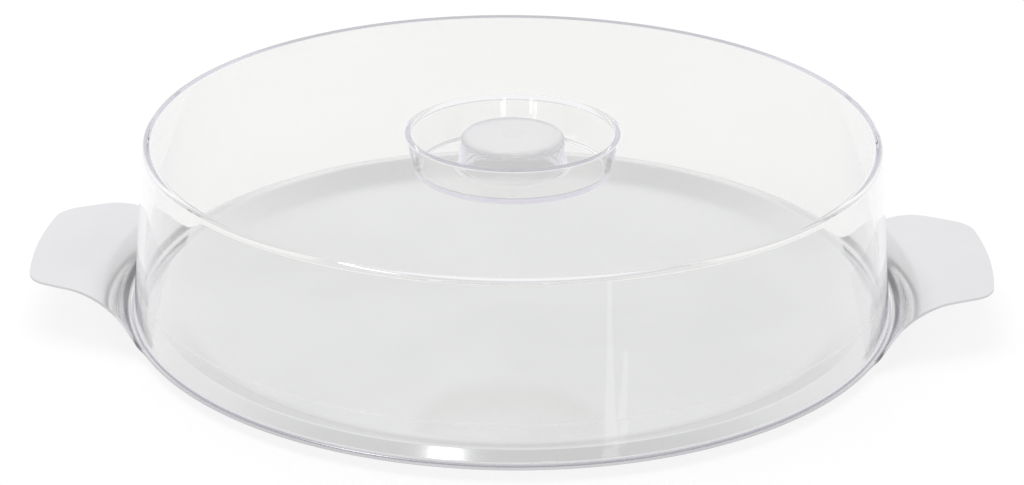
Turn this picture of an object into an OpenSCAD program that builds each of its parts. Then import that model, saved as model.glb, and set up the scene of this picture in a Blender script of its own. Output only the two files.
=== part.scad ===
// Round steel cake plate with a raised ridge and two handle tabs, and the clear moulded lid that rests on it.
// The origin is the centre of the plate's underside, the handles lie along X, and the lid opens upwards.

/* [Plate] */
// Outer diameter of the plate's rim
plate_d = 317.6; // [300:0.1:325]
// Thickness of the pressed sheet
sheet = 1; // [0.8:0.1:1.5]
// Diameter of the flat centre, measured to the line where the dish's wall would meet it
centre_d = 262; // [230:1:268]
// Radius of the wide bend from the flat centre into the dish's wall
wall_bend_r = 25; // [5:0.5:40]
// Diameter of the ridge that keeps the lid from sliding inwards
ridge_d = 294; // [285:0.5:300]
// Height of the ridge above the flat centre
ridge_h = 6.7; // [4:0.1:9]
// Radius of the bend over the ridge
ridge_bend_r = 3; // [2:0.1:4]
// Angle at which the seat ring falls outwards from the ridge
seat_slope = 16; // [8:0.5:20]
// Radius of the bend at the bottom of the seat ring
rim_bend_r = 3; // [2:0.1:4]
// Angle at which the cut edge of the rim points up
rim_turn = 25; // [5:1:40]

/* [Handle tabs] */
// Distance from the plate's axis to the end of a handle tab
tab_reach = 197.8; // [185:0.1:210]
// Height of the flat of a tab above the flat centre
tab_rise = 21.8; // [18:0.1:26]
// Angle at which a tab leaves the rim
tab_angle = 60; // [45:1:70]
// Radius of the long bend that brings a tab level again
tab_crest_r = 24; // [15:1:28]
// Half the width of a tab at its root
tab_half_w = 50.2; // [35:0.1:60]
// Angle between a tab's straight side and the handle axis
tab_taper = 24; // [0:1:30]
// Corner radius at the end of a tab
tab_corner_r = 14; // [5:1:20]
// Radius of the hollow where a tab's side flows into the rim
tab_root_r = 36; // [10:1:40]

/* [Lid] */
// Diameter across the lid's flat top
lid_d = 300; // [250:1:304]
// Outer diameter of the lid's foot
foot_d = 314; // [304:0.1:314.5]
// Height of the lid from its foot to its top
lid_h = 71; // [50:0.1:110]
// Thickness of the top
top_t = 2.6; // [2:0.1:3.5]
// Thickness of the wall, measured level
wall_t = 2.9; // [2:0.1:3.5]
// Outer radius of the rounded top edge
edge_r = 2; // [1:0.1:3]
// Height of the skirt below the rebate
skirt_h = 14.4; // [8:0.1:30]
// Depth of the rebate inside the skirt
rebate = 0.5; // [0.3:0.1:1]
// How much the skirt widens from the rebate to the foot
skirt_flare = 1.8; // [0:0.1:2.5]

/* [Finger well] */
// Diameter of the well at the top of the lid
well_d = 83.4; // [77:0.1:110]
// Diameter of the well's floor
well_floor_d = 76.4; // [60:0.1:100]
// Depth of the well
well_h = 16.2; // [12:0.1:25]
// Radius of the well's rounded edge and of the bends at its floor
well_edge_r = 1.5; // [1:0.1:2.5]
// Wall thickness of the well and the knob
well_t = 2.2; // [1.8:0.1:3]
// Diameter of the knob at its base
knob_base_d = 45.2; // [30:0.1:55]
// Diameter of the knob at its top
knob_top_d = 41.8; // [26:0.1:50]
// How far the knob's top lies below the top of the lid
knob_sink = 1.5; // [0:0.1:6]
// Radius of the knob's rounded top edge
knob_edge_r = 2.4; // [1:0.1:4]
// Diameter of the shallow dimple in the knob's top
dimple_d = 10.6; // [6:0.1:20]
// Depth of the dimple
dimple_h = 0.8; // [0.3:0.1:1.5]

/* [Hidden] */
$fn = 96;
corner_steps = 6;
arc_steps = 12;

// The ridge, and the angle of the dish's wall below it
ridge_r = ridge_d / 2;
ridge_z = sheet + ridge_h;
wall_a = atan(ridge_h / (ridge_r - centre_d / 2));

// The rim's bend starts on the seat ring and ends at the cut edge, whose lower corner is the plate's widest point
rim_c_r = plate_d / 2 - (rim_bend_r + sheet) * sin(rim_turn);
bend_start_r = rim_c_r - rim_bend_r * sin(seat_slope);
rim_c = [rim_c_r, seat_z(bend_start_r) + rim_bend_r * cos(seat_slope)];
tab_z = sheet + tab_rise;

// A tab's half width is measured this far outside the rim, and its sweep spans more than its width
root_offset = 6;
tab_span = 50;

// Small radii inside the lid and at its foot
inner_r = 1;
foot_edge_r = 0.5;
rebate_edge_r = 0.2;

// The foot is level and the seat ring slopes, so the lid rests by the rounded inner edge of its foot, all round
foot_r = foot_d / 2;
foot_in_r = foot_r - wall_t + rebate;
skirt_a = atan(skirt_flare / skirt_h);
contact_r = foot_in_r + foot_edge_r * tan(45 - skirt_a / 2);
foot_z = seat_z(contact_r) + foot_edge_r / cos(seat_slope) - foot_edge_r;
lid_top_z = foot_z + lid_h;
rebate_z = foot_z + skirt_h;
rebate_r = foot_r - skirt_flare;
floor_z = lid_top_z - well_h;
knob_top_z = lid_top_z - knob_sink;

// Height of the seat ring's top face at radius r
function seat_z(r) = ridge_z - (r - ridge_r) * tan(seat_slope);

// Points of an arc from angle a to angle b about centre c
function arc(c, r, a, b, n = arc_steps, first = 0) =
    [for (i = [first:n]) let (t = a + (b - a) * i / n) c + r * [cos(t), sin(t)]];

function unit(v) = v / norm(v);

// The arc that rounds the corner p between its neighbours a and b with radius r
function corner(a, p, b, r) =
    let (
        u = unit(a - p),
        v = unit(b - p),
        half = acos(u * v) / 2,
        c = p + unit(u + v) * r / sin(half),
        s = p + u * r / tan(half) - c,
        side = sign(u[0] * v[1] - u[1] * v[0]),
        from = atan2(s[1], s[0])
    )
    arc(c, r, from, from + side * -(180 - 2 * half), corner_steps);

// A closed outline of [x, y, corner radius] points with its corners rounded
function rounded(p) = [
    for (i = [0:len(p) - 1])
        let (
            a = p[(i + len(p) - 1) % len(p)],
            m = p[i],
            b = p[(i + 1) % len(p)]
        )
        each m[2] == 0
            ? [[m[0], m[1]]]
            : corner([a[0], a[1]], [m[0], m[1]], [b[0], b[1]], m[2])
];

function backwards(p) = [for (i = [len(p) - 1:-1:0]) p[i]];

// A bend of the sheet where lines at angles a and b meet in p, on the face that lies `depth` under the top face
function bend(p, a, b, r, depth) =
    let (
        side = sign(b - a),
        up = [-sin((a + b) / 2), cos((a + b) / 2)] / cos((b - a) / 2)
    )
    arc(p + side * r * up, r + side * depth, a - side * 90, b - side * 90, corner_steps);

// The whole of the dish's wall and ridge on the same face, from the flat centre to the seat ring
function dish_wall(depth) = concat(
    bend([centre_d / 2, sheet], 0, wall_a, wall_bend_r, depth),
    bend([ridge_r, ridge_z], wall_a, -seat_slope, ridge_bend_r, depth)
);

// The rim's bend on the same face, and how it goes on into a tab
function rim_bend(depth) =
    arc(rim_c, rim_bend_r + depth, -90 - seat_slope, rim_turn - 90, corner_steps);

function tab_bend(depth) =
    arc(rim_c, rim_bend_r + depth, rim_turn - 90, tab_angle - 90, corner_steps, 1);

// The long bend that brings a tab level, on the same face
function tab_crest(depth) =
    let (
        drop = tab_crest_r * (1 - cos(tab_angle)),
        bend_end_z = rim_c[1] - rim_bend_r * cos(tab_angle),
        slope_run = (tab_z - drop - bend_end_z) / tan(tab_angle),
        crest_x = rim_c[0] + (rim_bend_r + tab_crest_r) * sin(tab_angle) + slope_run
    )
    arc([crest_x, tab_z - tab_crest_r], tab_crest_r - depth, 90 + tab_angle, 90);

// The dish and its rim in section, from the axis outwards and back under the sheet
module dish_section() {
    polygon(concat(
        [[0, sheet]],
        dish_wall(0),
        rim_bend(0),
        backwards(rim_bend(sheet)),
        backwards(dish_wall(sheet)),
        [[0, 0]]
    ));
}

// A handle tab in section, from the seat ring up the rise and out to its end
module tab_section() {
    past_end = tab_reach + 1;
    polygon(concat(
        rim_bend(0),
        tab_bend(0),
        tab_crest(0),
        [[past_end, tab_z], [past_end, tab_z - sheet]],
        backwards(tab_crest(sheet)),
        backwards(tab_bend(sheet)),
        backwards(rim_bend(sheet))
    ));
}

// Half of a tab's outline seen from above: the rim, the hollow root, the straight side, the corner
// and the end, which is an arc about the plate's axis
function tab_half_outline() =
    let (
        rim_r = plate_d / 2,
        along = [cos(tab_taper), -sin(tab_taper)],
        out = [sin(tab_taper), cos(tab_taper)],
        inner_end = bend_start_r - tab_corner_r,
        start = [rim_r + root_offset, tab_half_w],
        // Centre of the hollow root: tangent to the rim circle and to the side
        p = start + out * tab_root_r,
        pd = p * along,
        root_c = p + along * (-pd + sqrt(pd * pd - p * p + pow(rim_r + tab_root_r, 2))),
        // Centre of the end corner: tangent to the side and to the end arc
        q = start - out * tab_corner_r,
        qd = q * along,
        end_c = q + along * (-qd + sqrt(qd * qd - q * q + pow(tab_reach - tab_corner_r, 2))),
        end_a = atan2(end_c[1], end_c[0]),
        root_a = atan2(root_c[1], root_c[0])
    )
    concat(
        [[inner_end, 0], inner_end * [cos(root_a), sin(root_a)]],
        arc(root_c, tab_root_r, 180 + root_a, 270 - tab_taper),
        arc(end_c, tab_corner_r, 90 - tab_taper, end_a),
        arc([0, 0], tab_reach, end_a, 0)
    );

// Both tabs of one blank: the pressed section swept about the axis and cut to the outline
module tab() {
    intersection() {
        rotate([0, 0, -tab_span / 2]) rotate_extrude(angle = tab_span) tab_section();
        linear_extrude(height = 2 * tab_z)
            for (side = [0, 1]) mirror([0, side]) polygon(tab_half_outline());
    }
}

// Pressed sheet plate with its two handle tabs
module plate() {
    color("silver") union() {
        rotate_extrude() dish_section();
        tab();
        rotate([0, 0, 180]) tab();
    }
}

// The lid in section, over the knob, the well and the top, down the wall and back inside
module lid_section() {
    knob_r = knob_top_d / 2;
    base_r = knob_base_d / 2;
    well_r = well_d / 2;
    well_floor_r = well_floor_d / 2;
    top_r = lid_d / 2;
    dimple_r = (pow(dimple_d / 2, 2) + pow(dimple_h, 2)) / (2 * dimple_h);
    dimple_a = asin(dimple_d / 2 / dimple_r);
    under = [
        [foot_r, foot_z, foot_edge_r],
        [foot_in_r, foot_z, foot_edge_r],
        [rebate_r - wall_t + rebate, rebate_z, rebate_edge_r],
        [rebate_r - wall_t, rebate_z, rebate_edge_r],
        [top_r - wall_t, lid_top_z - top_t, inner_r],
        [well_r + well_t, lid_top_z - top_t, inner_r],
        [well_floor_r + well_t, floor_z - well_t, well_edge_r],
        [base_r - well_t, floor_z - well_t, inner_r],
        [knob_r - well_t, knob_top_z - well_t, inner_r],
        [0, knob_top_z - well_t, 0]
    ];
    polygon(concat(
        arc([0, knob_top_z - dimple_h + dimple_r], dimple_r, -90, dimple_a - 90),
        rounded([
            [dimple_d / 2, knob_top_z, 0],
            [knob_r, knob_top_z, knob_edge_r],
            [base_r, floor_z, well_edge_r],
            [well_floor_r, floor_z, well_edge_r],
            [well_r, lid_top_z, well_edge_r],
            [top_r, lid_top_z, edge_r],
            [rebate_r, rebate_z, 0],
            each under
        ])
    ));
}

// Clear moulded lid
module lid() {
    color([0.93, 0.95, 0.95, 0.35]) rotate_extrude() lid_section();
}

plate();
lid();
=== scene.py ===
# Round pressed steel cake plate with a raised ridge and two handle tabs, and its clear moulded lid with
# a sunk finger well and knob. Everything is in metres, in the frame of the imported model.
import math

import bmesh
import bpy
from bpy.props import FloatProperty, FloatVectorProperty, PointerProperty
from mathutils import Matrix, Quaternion, Vector


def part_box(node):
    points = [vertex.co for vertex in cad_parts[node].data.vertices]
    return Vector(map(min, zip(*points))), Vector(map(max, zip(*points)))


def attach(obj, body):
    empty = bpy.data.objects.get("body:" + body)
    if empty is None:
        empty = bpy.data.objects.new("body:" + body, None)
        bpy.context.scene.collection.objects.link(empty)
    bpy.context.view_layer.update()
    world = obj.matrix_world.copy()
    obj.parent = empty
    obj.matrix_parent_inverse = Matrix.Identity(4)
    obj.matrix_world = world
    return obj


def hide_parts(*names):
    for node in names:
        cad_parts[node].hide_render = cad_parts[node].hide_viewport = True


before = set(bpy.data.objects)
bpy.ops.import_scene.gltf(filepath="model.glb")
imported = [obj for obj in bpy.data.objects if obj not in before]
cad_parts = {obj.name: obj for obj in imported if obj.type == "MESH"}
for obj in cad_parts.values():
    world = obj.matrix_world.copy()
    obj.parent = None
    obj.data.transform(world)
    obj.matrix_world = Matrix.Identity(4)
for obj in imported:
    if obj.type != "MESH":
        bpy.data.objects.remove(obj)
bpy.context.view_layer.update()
_, PLATE_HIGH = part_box("plate")
LID_LOW, LID_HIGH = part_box("lid")

bl_info = {
    "name": "Cake Plate with Lid",
    "version": (1, 0, 0),
    "blender": (4, 5, 0),
    "location": "View3D > Sidebar > Cake Plate",
    "description": "Builds a pressed steel cake plate, its clear moulded lid and a pale studio",
    "category": "Add Mesh",
}

MM = 0.001

# How finely the turned forms, their bends, in degrees, and the handle tabs are divided
DISH_STEPS = 360
BEND_STEP = 5
FEWEST_BEND_STEPS = 4
TAB_HALF_STEPS = 26
TAB_ROWS = 64

# Points closer than these are merged: at a seam or pole, and where a tab meets the rim
SEAM_GAP = 0.001 * MM
TAB_GAP = 0.005 * MM

# The angle between faces, in degrees, from which a corner counts as the sheet's cut edge
CUT_EDGE_ANGLE = 50

# Small roundings of the lid, the share of the dimple's arc that leaves its bend two short straights, and
# the air that keeps the lid's foot clear of the steel
INNER_BEND = 1 * MM
FOOT_BEND = 0.5 * MM
REBATE_BEND = 0.2 * MM
DIMPLE_BEND = 0.3 * MM
DIMPLE_SHARE = 0.97
FOOT_CLEARANCE = 0.03 * MM

# The steel: tilts at which its cut edge begins and ends, and how rough that edge is
CUT_FROM_BELOW = (-0.42, -0.3)
CUT_FROM_ABOVE = (0.43, 0.48)
CUT_ROUGHNESS = 0.35

# Painted shade lines in its tight bends: inner and outer reach beside the bend, then the fade beyond them
VALLEY_LINE = (-0.4 * MM, 0.1 * MM, 0.3 * MM)
RISE_LINE = (-0.1 * MM, 0.6 * MM, 1.1 * MM)
VALLEY_SHARE = 0.4

# The level about which a noise varies
NOISE_MEAN = 0.5

# The steel's polishing rings, wide rings and pressed waves: heights in millimetres, and roughness
RING_HEIGHT = 0.0012
WIDE_RING_HEIGHT = 0.003
WAVE_HEIGHT = 0.25
RING_ROUGHNESS = 0.05

# Its smudges: levels of the noise between which they dull the colour, and the polish, and how much
SMUDGED_COLOUR = (0.35, 0.7)
SMUDGED_POLISH = (0.45, 0.75)
SMUDGE_TONE = 0.965
SMUDGE_ROUGHNESS = 0.05

# The plastic: refraction, then flow marks and scuffs with the levels of the noise between which they show
REFRACTION = 1.53
FLOW_MARKS = (0.3, 0.7)
FLOW_TONE = 0.985
FLOW_HEIGHT = 0.15
SCUFFED = (0.55, 0.8)
SCUFF_ROUGHNESS = 0.03

# Its milky parts: how far they fade out beside the knob and the well, and how far below the knob's top the
# frost begins and is full, and the knob's side is milkiest
MILK = (0.95, 0.95, 0.96)
MILK_ROUGHNESS = 0.4
FROST_MILK = 0.3
KNOB_FADE = 0.8 * MM
WELL_FADE = 3 * MM
FROST_BEGINS = 6 * MM
FROST_FULL = 1 * MM
SIDE_FULL = 4 * MM

# Light that passes the plastic unbent: its tint outside, its tint in shadows, and the glow that stands in
# for it after this many passes
CLEAR_TINT = (0.985, 0.985, 0.98)
SHADOW_TINT = (0.93, 0.93, 0.92)
LAST_GLOW = (0.94, 0.935, 0.955)
MOST_PASSES = 6.5

# Heights above the lid's foot between which its painted dark shade, and the need for more mirrorings, end
PAINTED_FOOT_SHADE_HEIGHTS = (0.3 * MM, 2.5 * MM)
MIRRORING_FOOT = (2 * MM, 4 * MM)
FOOT_MIRRORINGS = 3.0

# A count in the light path above this is one or more
NONE_YET = 0.5

# In mirror images the floor darkens between these distances, and the room's light changes between these
# parts of the direction: upwards for the first three, backwards for the last
FAR_FLOOR = (0.5, 1.5)
OVERHEAD = (0.6, 0.9)
LOW_SKY = (0.05, 0.35)
HORIZON = (0.01, 0.08)
FRONT = (-0.9, 0.3)

# The part of the dark far floor and horizon that rays through the plastic don't show
HIDDEN_BY_PLASTIC = 0.8

# The floor's half width, and how far it lies under the plate
FLOOR_HALF = 12
FLOOR_DROP = 0.1 * MM

# Each lamp: its place, the point that it faces, and its width and height
KEY_LAMP = ((-0.2, 0.3, 1.5), (0, 0, 0), (1.4, 1.2))
LEFT_STRIP = ((-0.43, -1.22, 0.14), (0, 0, 0.04), (0.08, 0.24))
RIGHT_STRIP = ((0.25, -1.28, 0.14), (0, 0, 0.04), (0.08, 0.24))
SMALL_LAMP = ((-0.163, 0.612, 1.29), (-0.019, -0.151, 0.006), (0.055, 0.13))
FLOOR_STRIP = ((0.122, -0.294, 0.002), (0.122, -0.294, 1), (0.008, 0.3))
FLOOR_STRIP_TURN = 29.8

# The camera's sensor in millimetres, and the nearest and furthest distance that it shows
SENSOR = 36
CLIP = (0.05, 60)

WHITE = (1, 1, 1)
BLACK = (0, 0, 0)


def length(name, description, default):
    """A size in metres that a user can change"""
    return FloatProperty(
        name=name, description=description, default=default, min=0, precision=5, unit="LENGTH"
    )


def angle(name, description, default, lowest=0):
    """An angle that a user can change"""
    return FloatProperty(
        name=name, description=description, default=math.radians(default), min=math.radians(lowest),
        subtype="ANGLE",
    )


def number(name, description, default, most=1):
    """A plain amount that a user can change"""
    return FloatProperty(name=name, description=description, default=default, min=0, max=most)


def colour(name, description, default):
    """A colour that a user can change"""
    return FloatVectorProperty(
        name=name, description=description, default=default, min=0, max=1, size=3, subtype="COLOR"
    )


class PlateSettings(bpy.types.PropertyGroup):
    """Sizes and finish of the pressed steel plate"""

    rim_radius: length("Rim radius", "Radius over the rim", PLATE_HIGH.y)
    sheet: length("Sheet", "Thickness of the pressed sheet", 1 * MM)
    centre_radius: length("Centre radius", "Radius at which the wall would meet the flat centre", 131 * MM)
    wall_bend: length("Wall bend", "Bend radius from the flat centre into the wall", 25 * MM)
    ridge_radius: length("Ridge radius", "Radius of the ridge", 147 * MM)
    ridge_height: length("Ridge height", "Height of the ridge above the table", 7.7 * MM)
    ridge_bend: length("Ridge bend", "Bend radius over the ridge", 3 * MM)
    seat_slope: angle("Seat slope", "Angle at which the seat ring falls outwards", 16)
    rim_bend: length("Rim bend", "Bend radius at the bottom of the seat ring", 3 * MM)
    rim_turn: angle("Rim turn", "Angle at which the rim's cut edge points up", 25)
    edge: length("Cut edge", "Rounding of the sheet's cut edge", 0.22 * MM)
    tab_reach: length("Tab reach", "Distance from the axis to a tab's end", PLATE_HIGH.x)
    tab_height: length("Tab height", "Height of a tab's flat top", PLATE_HIGH.z)
    tab_angle: angle("Tab angle", "Angle at which a tab leaves the rim", 60)
    tab_crest: length("Tab crest", "Radius of the long bend that brings a tab level", 24 * MM)
    tab_half_width: length("Tab half width", "Half the width of a tab at its root", 50.2 * MM)
    tab_root_offset: length("Width offset", "How far outside the rim that width is", 6 * MM)
    tab_taper: angle("Tab taper", "Angle between a tab's side and its axis", 24)
    tab_corner: length("Tab corner", "Corner radius at a tab's end", 14 * MM)
    tab_root: length("Tab root", "Radius of the hollow where a tab meets the rim", 36 * MM)
    steel: colour("Steel", "Colour of the polished steel", (0.8, 0.8, 0.82))
    cut_shade: number("Cut edge shade", "How bright the sheared edge is beside the polished steel", 0.85)
    # Painted shade and dark reflections: this darkens the steel's colour in its tight bends
    painted_bend_shade: number("Bend shade", "How bright the tight bends are, where no polish reaches", 0.34)
    polish: number("Polish", "Roughness of the polished steel", 0.11)


class LidSettings(bpy.types.PropertyGroup):
    """Sizes and finish of the clear moulded lid"""

    top_radius: length("Top radius", "Radius of the flat top", 150 * MM)
    foot_radius: length("Foot radius", "Outer radius at the foot", LID_HIGH.x)
    foot_height: length("Foot height", "Height of the foot above the table", LID_LOW.z)
    top_height: length("Top height", "Height of the top above the table", LID_HIGH.z)
    top_wall: length("Top thickness", "Thickness of the top", 2.6 * MM)
    side_wall: length("Wall thickness", "Thickness of the side wall", 2.9 * MM)
    edge: length("Edge", "Rounding of the outer top edge", 2 * MM)
    skirt: length("Skirt", "Height of the skirt below the rebate", 14.4 * MM)
    rebate: length("Rebate", "Depth of the rebate inside the skirt", 0.5 * MM)
    skirt_flare: length("Skirt flare", "How much the skirt widens to the foot", 1.8 * MM)
    well_radius: length("Well radius", "Radius of the finger well at the top", 41.7 * MM)
    well_floor: length("Well floor", "Radius of the well's floor", 38.2 * MM)
    well_depth: length("Well depth", "Depth of the finger well", 16.2 * MM)
    well_bend: length("Well bend", "Rounding of the well's edge and floor", 1.5 * MM)
    well_wall: length("Well thickness", "Thickness of the well and the knob", 2.2 * MM)
    knob_base: length("Knob base", "Radius of the knob at its base", 22.6 * MM)
    knob_top: length("Knob top", "Radius of the knob at its top", 20.9 * MM)
    knob_sink: length("Knob sink", "How far the knob lies below the lid's top", 1.5 * MM)
    knob_edge: length("Knob edge", "Rounding of the knob's top edge", 2.4 * MM)
    dimple: length("Dimple", "Radius of the shallow dimple in the knob", 5.3 * MM)
    dimple_depth: length("Dimple depth", "Depth of the dimple", 0.8 * MM)
    plastic: colour("Plastic", "Tint of the clear plastic", (0.975, 0.98, 0.965))
    polish: number("Polish", "Roughness of the clear plastic", 0.02)
    frost: number("Frost", "Roughness of the knob's frosted top", 0.3)
    haze: number("Haze", "Milkiness of the knob's side", 0.14)
    well_haze: number("Well haze", "Milkiness of the finger well's wall", 0.05)
    edge_tint: colour("Edge tint", "Tint of the light that leaves the edges", (0.96, 0.953, 0.975))
    # Painted shade: this near black tint darkens the lid's foot where shade falls under it
    painted_foot_shade: colour("Foot tint", "Tint of the light that leaves the foot", (0.12, 0.1, 0.13))
    depth_tint: colour("Depth tint", "Tint that light takes far inside", (0.777, 0.726, 0.872))
    depth: number("Depth", "How fast that tint builds up", 4, most=500)


class StageSettings(bpy.types.PropertyGroup):
    """The studio round the plate and the camera that looks at it"""

    floor: colour("Floor", "Colour of the floor", (0.28, 0.28, 0.279))
    floor_glow: number("Floor glow", "Light added where the floor is seen", 0.76)
    sky: number("Sky", "Strength of the light from all round", 0.62, most=5)
    horizon: number("Horizon", "How dark the far horizon is in reflections", 0.45)
    low_sky: number("Low sky", "How much dimmer reflections from low in the room are", 0.12)
    overhead: number("Overhead", "How much dimmer reflections from overhead are", 0.25)
    front: number("Front", "How much dimmer reflections from the front are", 0.12)
    key: number("Key lamp", "Power of the lamp overhead, in watts", 9, most=500)
    strip: number("Strip lamps", "Power of each upright strip lamp, in watts", 0.2, most=500)
    spot: number("Small lamp", "Power of the small lamp behind, in watts", 0.05, most=500)
    floor_strip: number("Floor strip", "Power of the strip that lies in front, in watts", 0.007, most=500)
    lens: number("Lens", "Focal length on a sensor 36 mm wide, in mm", 94.68, most=500)
    distance: length("Distance", "Distance from the camera to its target", 1117.8 * MM)
    elevation: angle("Elevation", "Height of the camera above the horizon", 23.21)
    azimuth: angle("Azimuth", "Turn of the camera about the plate's axis", 1.27, lowest=-180)
    roll: angle("Roll", "Turn of the camera about its own axis", 0.396, lowest=-180)
    target: length("Target height", "Height of the point that the camera looks at", 26.6 * MM)


class Shade:
    """One output of a node tree, which Python expressions can use as a number"""

    def __init__(self, nodes, socket):
        self.nodes = nodes
        self.socket = socket

    def math(self, operation, *values):
        """A Math node of these values"""
        keyed = dict(enumerate(values))
        return self.nodes.add("ShaderNodeMath", {"operation": operation}, keyed)

    def __add__(self, other):
        return self.math("ADD", self, other)

    def __sub__(self, other):
        return self.math("SUBTRACT", self, other)

    def __rsub__(self, other):
        return self.math("SUBTRACT", other, self)

    def __mul__(self, other):
        return self.math("MULTIPLY", self, other)

    def __pow__(self, other):
        return self.math("POWER", self, other)

    def __gt__(self, other):
        return self.math("GREATER_THAN", self, other)

    __radd__ = __add__
    __rmul__ = __mul__

    def at_most_one(self):
        """The number, or 1 where it is more"""
        return self.math("MINIMUM", self, 1.0)

    def smooth(self, low, high):
        """0 below low, 1 above high and an even curve between them"""
        settings = {"interpolation_type": "SMOOTHSTEP"}
        return self.nodes.add(
            "ShaderNodeMapRange", settings, {"Value": self, "From Min": low, "From Max": high}
        )


class Nodes:
    """The nodes of one material or world"""

    def __init__(self, owner):
        owner.use_nodes = True
        self.tree = owner.node_tree
        self.tree.nodes.clear()

    def add(self, kind, settings=None, inputs=None, output=0):
        """A new node of this kind, with its settings, then its inputs, and one of its outputs"""
        node = self.tree.nodes.new(kind)
        for name, value in (settings or {}).items():
            setattr(node, name, value)
        for name, value in (inputs or {}).items():
            if isinstance(value, Shade):
                self.tree.links.new(value.socket, node.inputs[name])
            else:
                node.inputs[name].default_value = value
        return Shade(self, node.outputs[output]) if node.outputs else None

    def position(self):
        """The place on the piece, in the model's own frame"""
        return self.add("ShaderNodeTexCoord", output="Object")

    def split(self, vector):
        """The three parts of a vector"""
        whole = self.add("ShaderNodeSeparateXYZ", inputs={"Vector": vector})
        return [Shade(self, socket) for socket in whole.socket.node.outputs]

    def noise(self, vector, scale, detail, dimensions="3D"):
        """Soft noise about 0.5"""
        inputs = {"Scale": scale, "Detail": detail}
        inputs["W" if dimensions == "1D" else "Vector"] = vector
        return self.add("ShaderNodeTexNoise", {"noise_dimensions": dimensions}, inputs)

    def blend(self, factor, first, second):
        """A mix of two colours"""
        return self.add(
            "ShaderNodeMix", {"data_type": "RGBA"}, {0: factor, 6: first, 7: second}, output=2
        )

    def line(self, value, middle, inner, outer, fade):
        """1 from inner to outer beside the middle, with a soft fade beyond them"""
        low = middle + inner
        high = middle + outer
        return value.smooth(low - fade, low) * (1 - value.smooth(high, high + fade))

    def see_through(self, tint):
        """A shader that only tints what lies behind it"""
        return self.add("ShaderNodeBsdfTransparent", inputs={"Color": rgba(tint)})

    def mix_shader(self, factor, first, second):
        """A mix of two shaders"""
        return self.add("ShaderNodeMixShader", inputs={0: factor, 1: first, 2: second})

    def bump(self, height):
        """A surface raised by this height in millimetres"""
        return self.add(
            "ShaderNodeBump", inputs={"Strength": 1.0, "Distance": 1 * MM, "Height": height}
        )


def rgba(values, factor=1.0):
    """A colour with alpha 1, its channels multiplied by factor"""
    return (*(min(1.0, v * factor) for v in values), 1.0)


def from_axis(x, y):
    """Distance from the plate's axis"""
    return (x * x + y * y) ** 0.5


def steel_material(settings):
    """Bright polished stainless sheet, with polishing rings, smudges, duller cut edges and painted shade in
    the bends
    """
    material = bpy.data.materials.new("polished_steel")
    nodes = Nodes(material)
    tab = TabShape(settings)
    place = nodes.position()
    x, y, _ = nodes.split(place)
    ring = from_axis(x, y)
    rings = nodes.noise(ring, scale=2600.0, detail=3.0, dimensions="1D")
    wide_rings = nodes.noise(ring, scale=300.0, detail=2.0, dimensions="1D")
    smudges = nodes.noise(place, scale=16.0, detail=4.0)
    wave = nodes.noise(place, scale=7.0, detail=1.0)
    _, _, up = nodes.split(nodes.add("ShaderNodeTexCoord", output="Normal"))
    cut = up.smooth(*CUT_FROM_BELOW) * (1 - up.smooth(*CUT_FROM_ABOVE))
    # Painted shade and dark reflections: the colour is darkened in the rim's valley and at the tabs' rise
    valley = nodes.line(ring, tab.rim_corner, *VALLEY_LINE)
    rise = nodes.line(ring, tab.rise_start, *RISE_LINE)
    bends = (VALLEY_SHARE * valley + rise).at_most_one()
    smudged = smudges.smooth(*SMUDGED_COLOUR)
    paint = nodes.blend(smudged, rgba(settings.steel), rgba(settings.steel, SMUDGE_TONE))
    paint = nodes.blend(cut, paint, rgba(settings.steel, settings.cut_shade))
    paint = nodes.blend(bends, paint, rgba(settings.steel, settings.painted_bend_shade))
    roughness = settings.polish + RING_ROUGHNESS * (rings - NOISE_MEAN)
    roughness = roughness + SMUDGE_ROUGHNESS * smudges.smooth(*SMUDGED_POLISH) + CUT_ROUGHNESS * cut
    height = rings * RING_HEIGHT + wide_rings * WIDE_RING_HEIGHT + wave * WAVE_HEIGHT
    shader = nodes.add(
        "ShaderNodeBsdfPrincipled",
        inputs={
            "Base Color": paint,
            "Metallic": 1.0,
            "Roughness": roughness,
            "Normal": nodes.bump(height),
        },
    )
    nodes.add("ShaderNodeOutputMaterial", inputs={"Surface": shader})
    return material


def light_path(nodes, output):
    """One of the facts about the ray that meets a surface"""
    return nodes.add("ShaderNodeLightPath", output=output)


def plastic_body(nodes, settings, place):
    """The plastic itself: clear with flow marks and scuffs, frosted and milky about the knob"""
    x, y, z = nodes.split(place)
    ring = from_axis(x, y)
    knob_top = settings.top_height - settings.knob_sink
    on_knob = 1 - ring.smooth(settings.knob_top, settings.knob_base + KNOB_FADE)
    frosted = on_knob * z.smooth(knob_top - FROST_BEGINS, knob_top - FROST_FULL)
    scuffs = nodes.noise(place, scale=90.0, detail=5.0)
    flow = nodes.noise(place, scale=9.0, detail=2.0)
    marks = flow.smooth(*FLOW_MARKS)
    roughness = settings.polish + SCUFF_ROUGHNESS * scuffs.smooth(*SCUFFED) + settings.frost * frosted
    clear = nodes.add(
        "ShaderNodeBsdfPrincipled",
        inputs={
            "Base Color": nodes.blend(marks, rgba(settings.plastic), rgba(settings.plastic, FLOW_TONE)),
            "Roughness": roughness,
            "IOR": REFRACTION,
            "Transmission Weight": 1.0,
            "Normal": nodes.bump(flow * FLOW_HEIGHT),
        },
    )
    milk = nodes.add(
        "ShaderNodeBsdfPrincipled", inputs={"Base Color": rgba(MILK), "Roughness": MILK_ROUGHNESS}
    )
    side = z.smooth(knob_top - settings.well_depth, knob_top - SIDE_FULL)
    in_well = (1 - ring.smooth(settings.well_radius, settings.well_radius + WELL_FADE)) * (1 - on_knob)
    haze = on_knob * side * (settings.haze + FROST_MILK * frosted)
    return nodes.mix_shader(haze + settings.well_haze * in_well, clear, milk)


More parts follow.
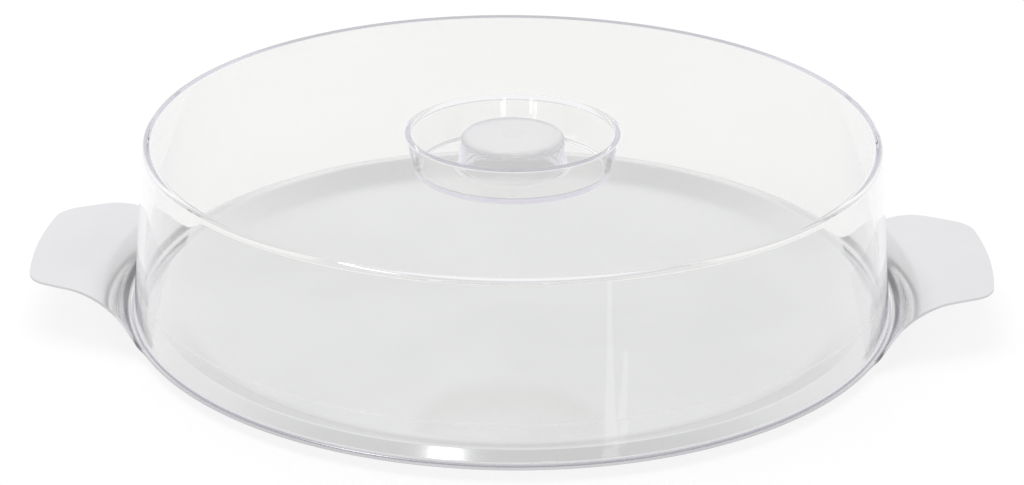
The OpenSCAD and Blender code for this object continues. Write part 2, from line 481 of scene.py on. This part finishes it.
def below(z, settings, heights):
    """1 under the lower of two heights above the lid's foot, 0 over the higher"""
    low, high = heights
    return 1 - z.smooth(settings.foot_height + low, settings.foot_height + high)


def plastic_material(settings):
    """The clear moulded plastic, through which shadow rays and mirrored light pass unbent.

    Light that has been mirrored, inside the plastic or by the steel, passes it with a set tint, and isn't
    followed to the end of its bounces. At the foot that tint is near black, a painted shade. Near the foot
    it is mirrored more often first.
    """
    material = bpy.data.materials.new("clear_plastic")
    nodes = Nodes(material)
    place = nodes.position()
    _, _, z = nodes.split(place)
    body = plastic_body(nodes, settings, place)
    shadow_ray = light_path(nodes, "Is Shadow Ray")
    mirrorings = light_path(nodes, "Glossy Depth")
    crossings = light_path(nodes, "Transmission Depth")
    passes = light_path(nodes, "Transparent Depth")
    inside = crossings.math("MODULO", crossings, 2.0)
    edge_light = nodes.see_through(settings.edge_tint)
    # Painted shade at the foot: mirrored light that leaves there takes a near black tint
    painted_foot_shade_pass = nodes.see_through(settings.painted_foot_shade)
    guided = nodes.mix_shader(below(z, settings, PAINTED_FOOT_SHADE_HEIGHTS), edge_light, painted_foot_shade_pass)
    passing = nodes.mix_shader(inside, nodes.see_through(CLEAR_TINT), guided)
    passing = nodes.mix_shader(shadow_ray, passing, nodes.see_through(SHADOW_TINT))
    glow = nodes.add("ShaderNodeEmission", inputs={"Color": rgba(LAST_GLOW)})
    passing = nodes.mix_shader(passes > MOST_PASSES, passing, glow)
    leaves = mirrorings > NONE_YET + FOOT_MIRRORINGS * below(z, settings, MIRRORING_FOOT)
    surface = nodes.mix_shader((shadow_ray + leaves).at_most_one(), body, passing)
    depth = nodes.add(
        "ShaderNodeVolumeAbsorption",
        inputs={"Color": rgba(settings.depth_tint), "Density": settings.depth},
    )
    nodes.add("ShaderNodeOutputMaterial", inputs={"Surface": surface, "Volume": depth})
    return material


def seen_ray(nodes):
    """1 for rays that show a surface to the eye: straight, mirrored or through the plastic"""
    kinds = ("Is Camera Ray", "Is Glossy Ray", "Is Transmission Ray")
    camera, glossy, through = (light_path(nodes, kind) for kind in kinds)
    return (camera + glossy + through).at_most_one()


def plain_mirror(nodes):
    """1 for rays that have crossed no plastic, less for the others"""
    return 1 - HIDDEN_BY_PLASTIC * (light_path(nodes, "Transmission Depth") > NONE_YET)


def floor_material(settings):
    """A pale floor, nearly white where it is seen, that keeps the soft shadow and is darker far off"""
    material = bpy.data.materials.new("pale_floor")
    nodes = Nodes(material)
    x, y, _ = nodes.split(nodes.position())
    far = from_axis(x, y).smooth(*FAR_FLOOR)
    mirrored = light_path(nodes, "Is Glossy Ray") * plain_mirror(nodes)
    colour_seen = nodes.blend(settings.horizon * far * mirrored, rgba(WHITE), rgba(BLACK))
    strength = seen_ray(nodes) * settings.floor_glow
    matt = nodes.add("ShaderNodeBsdfDiffuse", inputs={"Color": rgba(settings.floor)})
    glow = nodes.add("ShaderNodeEmission", inputs={"Color": colour_seen, "Strength": strength})
    both = nodes.add("ShaderNodeAddShader", inputs={0: matt, 1: glow})
    nodes.add("ShaderNodeOutputMaterial", inputs={"Surface": both})
    return material


def round_corner(bm, corner, radius):
    """Rounds a corner of a wire to this radius"""
    there, back = (edge.other_vert(corner).co - corner.co for edge in corner.link_edges)
    inside = there.angle(back)
    segments = max(FEWEST_BEND_STEPS, round(math.degrees(math.pi - inside) / BEND_STEP))
    bmesh.ops.bevel(
        bm, geom=[corner], offset=radius / math.tan(inside / 2), offset_type="OFFSET",
        affect="VERTICES", segments=segments, profile=0.5, material=-1,
    )


def draw_section(bm, outline):
    """A wire through (distance from the axis, height, corner radius) points"""
    corners = [bm.verts.new((x, 0, z)) for x, z, _ in outline]
    for pair in zip(corners, corners[1:]):
        bm.edges.new(pair)
    for corner, (_, _, radius) in zip(corners, outline):
        if radius:
            round_corner(bm, corner, radius)


def revolve(bm, steps):
    """Turns all that is drawn once round the axis and closes the seam and the poles"""
    bmesh.ops.spin(
        bm, geom=bm.verts[:] + bm.edges[:], cent=(0, 0, 0), axis=(0, 0, 1), angle=math.tau,
        steps=steps, use_merge=True,
    )
    bmesh.ops.remove_doubles(bm, verts=bm.verts[:], dist=SEAM_GAP)


def add_piece(name, bm, material):
    """A smooth object made from a bmesh, with one material"""
    mesh = bpy.data.meshes.new(name)
    bm.to_mesh(mesh)
    bm.free()
    mesh.materials.append(material)
    mesh.shade_smooth()
    piece = bpy.data.objects.new(name, mesh)
    bpy.context.scene.collection.objects.link(piece)
    return piece


def even_normals(piece):
    """Lets large flat faces keep their own normals beside small bends"""
    weighted = piece.modifiers.new("even_normals", "WEIGHTED_NORMAL")
    weighted.weight = 50
    weighted.keep_sharp = False


class TabShape:
    """The form of the rim's bend and of the handle tab that goes on from it"""

    def __init__(self, s):
        rise = math.sin(s.tab_angle)
        level = math.cos(s.tab_angle)
        self.settings = s
        self.bend_radius = s.rim_radius - (s.rim_bend + s.sheet) * math.sin(s.rim_turn)
        bend_start = self.bend_radius - s.rim_bend * math.sin(s.seat_slope)
        seat_fall = (bend_start - s.ridge_radius) * math.tan(s.seat_slope)
        self.bend_height = s.ridge_height - seat_fall + s.rim_bend * math.cos(s.seat_slope)
        middle = (s.rim_turn - s.seat_slope) / 2
        reach = s.rim_bend / math.cos((s.rim_turn + s.seat_slope) / 2)
        self.rim_corner = self.bend_radius + reach * math.sin(middle)
        self.rim_corner_height = self.bend_height - reach * math.cos(middle)
        self.root = self.bend_radius + s.rim_bend * math.sin(s.rim_turn)
        self.root_height = self.bend_height - s.rim_bend * math.cos(s.rim_turn)
        self.rise_start = self.bend_radius + s.rim_bend * rise
        self.rise_height = self.bend_height - s.rim_bend * level
        self.crest_height = s.tab_height - s.tab_crest
        climb = self.crest_height + s.tab_crest * level - self.rise_height
        self.crest_start = self.rise_start + climb / math.tan(s.tab_angle)
        self.crest_end = self.crest_start + s.tab_crest * rise
        along = Vector((math.cos(s.tab_taper), -math.sin(s.tab_taper)))
        out = Vector((math.sin(s.tab_taper), math.cos(s.tab_taper)))
        start = Vector((s.rim_radius + s.tab_root_offset, s.tab_half_width))
        self.root_centre = self.slide(start + out * s.tab_root, along, self.root + s.tab_root)
        self.corner_centre = self.slide(start - out * s.tab_corner, along, s.tab_reach - s.tab_corner)
        self.side = start, along
        self.side_from = (self.root_centre - out * s.tab_root).length
        self.side_to = (self.corner_centre + out * s.tab_corner).length

    def slide(self, point, along, distance):
        """The point moved along a direction until it is this far from the axis"""
        towards = point.dot(along)
        reach = math.sqrt(towards**2 - point.length_squared + distance**2)
        return point + along * (reach - towards)

    def height(self, radius):
        """Height of the tab's top face"""
        s = self.settings
        if radius < self.rise_start:
            return self.bend_height - math.sqrt(s.rim_bend**2 - (radius - self.bend_radius) ** 2)
        if radius < self.crest_start:
            return self.rise_height + (radius - self.rise_start) * math.tan(s.tab_angle)
        if radius < self.crest_end:
            return self.crest_height + math.sqrt(s.tab_crest**2 - (self.crest_end - radius) ** 2)
        return s.tab_height

    def half_angle(self, radius):
        """Angle about the plate's axis from the tab's middle to its side"""
        s = self.settings
        if radius < self.side_from:
            return self.on_circle(self.root_centre, s.tab_root, radius, -1)
        if radius > self.side_to:
            return self.on_circle(self.corner_centre, s.tab_corner, radius, 1)
        start, along = self.side
        point = self.slide(start, along, radius)
        return math.atan2(point.y, point.x)

    def on_circle(self, centre, circle, radius, way):
        """Angle of the point where a circle of the outline is this far from the axis"""
        far = centre.length
        cosine = (radius**2 + far**2 - circle**2) / (2 * radius * far)
        return math.atan2(centre.y, centre.x) + way * math.acos(min(1.0, cosine))


def draw_tab(bm, tab, side):
    """One handle tab: a grid bent to the tab's outline and section. Side is 1 or -1 along X."""
    grid = bmesh.ops.create_grid(
        bm, x_segments=TAB_ROWS, y_segments=2 * TAB_HALF_STEPS, size=1.0
    )
    rim_angle = math.tau / DISH_STEPS * TAB_HALF_STEPS
    span = tab.settings.tab_reach - tab.root
    for vertex in grid["verts"]:
        row = (1 - math.cos(math.pi * (vertex.co.x + 1) / 2)) / 2
        radius = tab.root + span * row
        half = min(rim_angle, tab.half_angle(radius)) if row > 0 else rim_angle
        turn = vertex.co.y * half
        vertex.co = (
            side * radius * math.cos(turn), side * radius * math.sin(turn), tab.height(radius)
        )


def build_plate(s):
    """The pressed sheet: dish, ridge, sloping seat ring, rim and two handle tabs"""
    tab = TabShape(s)
    bm = bmesh.new()
    draw_section(bm, [
        (0, s.sheet, 0),
        (s.centre_radius, s.sheet, s.wall_bend),
        (s.ridge_radius, s.ridge_height, s.ridge_bend),
        (tab.rim_corner, tab.rim_corner_height, s.rim_bend),
        (tab.root, tab.root_height, 0),
    ])
    revolve(bm, DISH_STEPS)
    for side in (1, -1):
        draw_tab(bm, tab, side)
    bmesh.ops.remove_doubles(bm, verts=bm.verts[:], dist=TAB_GAP)
    bmesh.ops.recalc_face_normals(bm, faces=bm.faces[:])
    if sum(face.normal.z for face in bm.faces) < 0:
        bmesh.ops.reverse_faces(bm, faces=bm.faces[:])
    plate = add_piece("steel_plate", bm, steel_material(s))
    solid = plate.modifiers.new("sheet", "SOLIDIFY")
    solid.thickness = s.sheet
    solid.offset = -1
    solid.use_even_offset = True
    soft = plate.modifiers.new("cut_edge", "BEVEL")
    soft.width = s.edge
    soft.segments = 2
    soft.limit_method = "ANGLE"
    soft.angle_limit = math.radians(CUT_EDGE_ANGLE)
    even_normals(plate)
    return plate


def build_lid(s):
    """The moulded lid: knob, dimple, finger well, top, wall, rebate and foot"""
    top = s.top_height
    rebate_z = s.foot_height + s.skirt
    rebate_r = s.foot_radius - s.skirt_flare
    floor_z = top - s.well_depth
    knob_z = top - s.knob_sink
    dimple_arc = (s.dimple**2 + s.dimple_depth**2) / (2 * s.dimple_depth)
    dimple_turn = dimple_arc * math.tan(math.asin(s.dimple / dimple_arc) / 2)
    foot = s.foot_height + FOOT_CLEARANCE
    bm = bmesh.new()
    draw_section(bm, [
        (0, knob_z - s.dimple_depth, 0),
        (dimple_turn, knob_z - s.dimple_depth, DIMPLE_SHARE * dimple_arc),
        (s.dimple, knob_z, DIMPLE_BEND),
        (s.knob_top, knob_z, s.knob_edge),
        (s.knob_base, floor_z, s.well_bend),
        (s.well_floor, floor_z, s.well_bend),
        (s.well_radius, top, s.well_bend),
        (s.top_radius, top, s.edge),
        (rebate_r, rebate_z, 0),
        (s.foot_radius, foot, FOOT_BEND),
        (s.foot_radius - s.side_wall + s.rebate, foot, FOOT_BEND),
        (rebate_r - s.side_wall + s.rebate, rebate_z, REBATE_BEND),
        (rebate_r - s.side_wall, rebate_z, REBATE_BEND),
        (s.top_radius - s.side_wall, top - s.top_wall, INNER_BEND),
        (s.well_radius + s.well_wall, top - s.top_wall, INNER_BEND),
        (s.well_floor + s.well_wall, floor_z - s.well_wall, s.well_bend),
        (s.knob_base - s.well_wall, floor_z - s.well_wall, INNER_BEND),
        (s.knob_top - s.well_wall, knob_z - s.well_wall, INNER_BEND),
        (0, knob_z - s.well_wall, 0),
    ])
    revolve(bm, DISH_STEPS)
    bmesh.ops.recalc_face_normals(bm, faces=bm.faces[:])
    lid = add_piece("clear_lid", bm, plastic_material(s))
    even_normals(lid)
    return lid


def add_floor(s):
    """A wide floor just under the plate"""
    bm = bmesh.new()
    bmesh.ops.create_grid(bm, x_segments=1, y_segments=1, size=FLOOR_HALF)
    bmesh.ops.translate(bm, verts=bm.verts[:], vec=(0, 0, -FLOOR_DROP))
    add_piece("floor", bm, floor_material(s))


def add_world(s):
    """Light from all round: white where it is seen, and uneven in reflections, as in a room"""
    world = bpy.data.worlds.new("studio")
    bpy.context.scene.world = world
    nodes = Nodes(world)
    _, y, z = nodes.split(nodes.add("ShaderNodeTexCoord", output="Generated"))
    overhead = s.overhead * z.smooth(*OVERHEAD)
    front = s.front * (1 - y.smooth(*FRONT))
    horizon = s.horizon * plain_mirror(nodes) * (1 - z.smooth(*HORIZON))
    low_sky = s.low_sky * (1 - z.smooth(*LOW_SKY))
    level = (1 - overhead) * (1 - front) * (1 - horizon) * (1 - low_sky)
    camera = light_path(nodes, "Is Camera Ray")
    level = camera + (1 - camera) * level
    seen = seen_ray(nodes)
    strength = seen * level + (1 - seen) * s.sky
    light = nodes.add("ShaderNodeBackground", inputs={"Color": rgba(WHITE), "Strength": strength})
    nodes.add("ShaderNodeOutputWorld", inputs={"Surface": light})


def add_lamp(name, place, target, size, power, mirrored=True):
    """A rectangular soft lamp that faces a point. Where mirrored is false, nothing mirrors it."""
    lamp = bpy.data.lights.new(name, "AREA")
    lamp.shape = "RECTANGLE"
    lamp.size, lamp.size_y = size
    lamp.energy = power
    holder = bpy.data.objects.new(name, lamp)
    holder.location = place
    holder.rotation_mode = "QUATERNION"
    holder.rotation_quaternion = (Vector(target) - Vector(place)).to_track_quat("-Z", "Y")
    holder.visible_glossy = mirrored
    holder.visible_transmission = mirrored
    bpy.context.scene.collection.objects.link(holder)
    return holder


def add_lamps(s):
    """The soft lamp overhead, two upright strips in front, a small lamp behind and a strip on the floor"""
    add_lamp("key", *KEY_LAMP, s.key, mirrored=False)
    add_lamp("strip_left", *LEFT_STRIP, s.strip)
    add_lamp("strip_right", *RIGHT_STRIP, s.strip)
    add_lamp("spot", *SMALL_LAMP, s.spot)
    flat = add_lamp("floor_strip", *FLOOR_STRIP, s.floor_strip)
    turn = Quaternion((0, 0, 1), math.radians(FLOOR_STRIP_TURN))
    flat.rotation_quaternion = turn @ Quaternion((1, 0, 0), math.pi)


def add_camera(s):
    """The camera, where the photograph was taken from"""
    camera = bpy.data.objects.new("camera", bpy.data.cameras.new("camera"))
    camera.data.sensor_width = SENSOR
    camera.data.lens = s.lens
    camera.data.clip_start, camera.data.clip_end = CLIP
    back = Vector((
        math.sin(s.azimuth) * math.cos(s.elevation),
        -math.cos(s.azimuth) * math.cos(s.elevation),
        math.sin(s.elevation),
    ))
    camera.location = Vector((0, 0, s.target)) + back * s.distance
    camera.rotation_mode = "QUATERNION"
    look = (-back).to_track_quat("-Z", "Y")
    camera.rotation_quaternion = look @ Quaternion((0, 0, 1), s.roll)
    bpy.context.scene.collection.objects.link(camera)
    bpy.context.scene.camera = camera


class CAKEPLATE_OT_plate(bpy.types.Operator):
    """Build the pressed steel plate with its handle tabs"""

    bl_idname = "cake_plate.plate"
    bl_label = "Steel Plate"

    def execute(self, context):
        plate = build_plate(context.scene.cake_plate)
        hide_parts("plate")
        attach(plate, "root")
        return {"FINISHED"}


class CAKEPLATE_OT_lid(bpy.types.Operator):
    """Build the clear moulded lid that rests on the plate"""

    bl_idname = "cake_plate.lid"
    bl_label = "Clear Lid"

    def execute(self, context):
        lid = build_lid(context.scene.cake_lid)
        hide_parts("lid")
        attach(lid, "root")
        return {"FINISHED"}


class CAKEPLATE_OT_stage(bpy.types.Operator):
    """Add the pale floor, the soft lights and the camera"""

    bl_idname = "cake_plate.stage"
    bl_label = "Studio"

    def execute(self, context):
        settings = context.scene.cake_stage
        context.scene.view_settings.view_transform = "Standard"
        add_floor(settings)
        add_world(settings)
        add_lamps(settings)
        add_camera(settings)
        return {"FINISHED"}


OPERATORS = (CAKEPLATE_OT_plate, CAKEPLATE_OT_lid, CAKEPLATE_OT_stage)
SETTINGS = {"cake_plate": PlateSettings, "cake_lid": LidSettings, "cake_stage": StageSettings}


class CAKEPLATE_PT_panel(bpy.types.Panel):
    """Sizes and colours of the cake plate, its lid and the studio"""

    bl_label = "Cake Plate"
    bl_idname = "CAKEPLATE_PT_panel"
    bl_space_type = "VIEW_3D"
    bl_region_type = "UI"
    bl_category = "Cake Plate"

    def draw(self, context):
        for operator, (name, group) in zip(OPERATORS, SETTINGS.items()):
            box = self.layout.box()
            for field in group.__annotations__:
                box.prop(getattr(context.scene, name), field)
            box.operator(operator.bl_idname)


def register():
    """Adds the settings, the operators and the panel"""
    for group in SETTINGS.values():
        bpy.utils.register_class(group)
    for name, group in SETTINGS.items():
        setattr(bpy.types.Scene, name, PointerProperty(type=group))
    for operator in (*OPERATORS, CAKEPLATE_PT_panel):
        bpy.utils.register_class(operator)


def unregister():
    """Takes them out again"""
    for operator in (CAKEPLATE_PT_panel, *reversed(OPERATORS)):
        bpy.utils.unregister_class(operator)
    for name, group in SETTINGS.items():
        delattr(bpy.types.Scene, name)
        bpy.utils.unregister_class(group)


def main():
    """Builds the whole scene"""
    register()
    bpy.ops.cake_plate.plate()
    bpy.ops.cake_plate.lid()
    bpy.ops.cake_plate.stage()


if __name__ == "__main__":
    main()
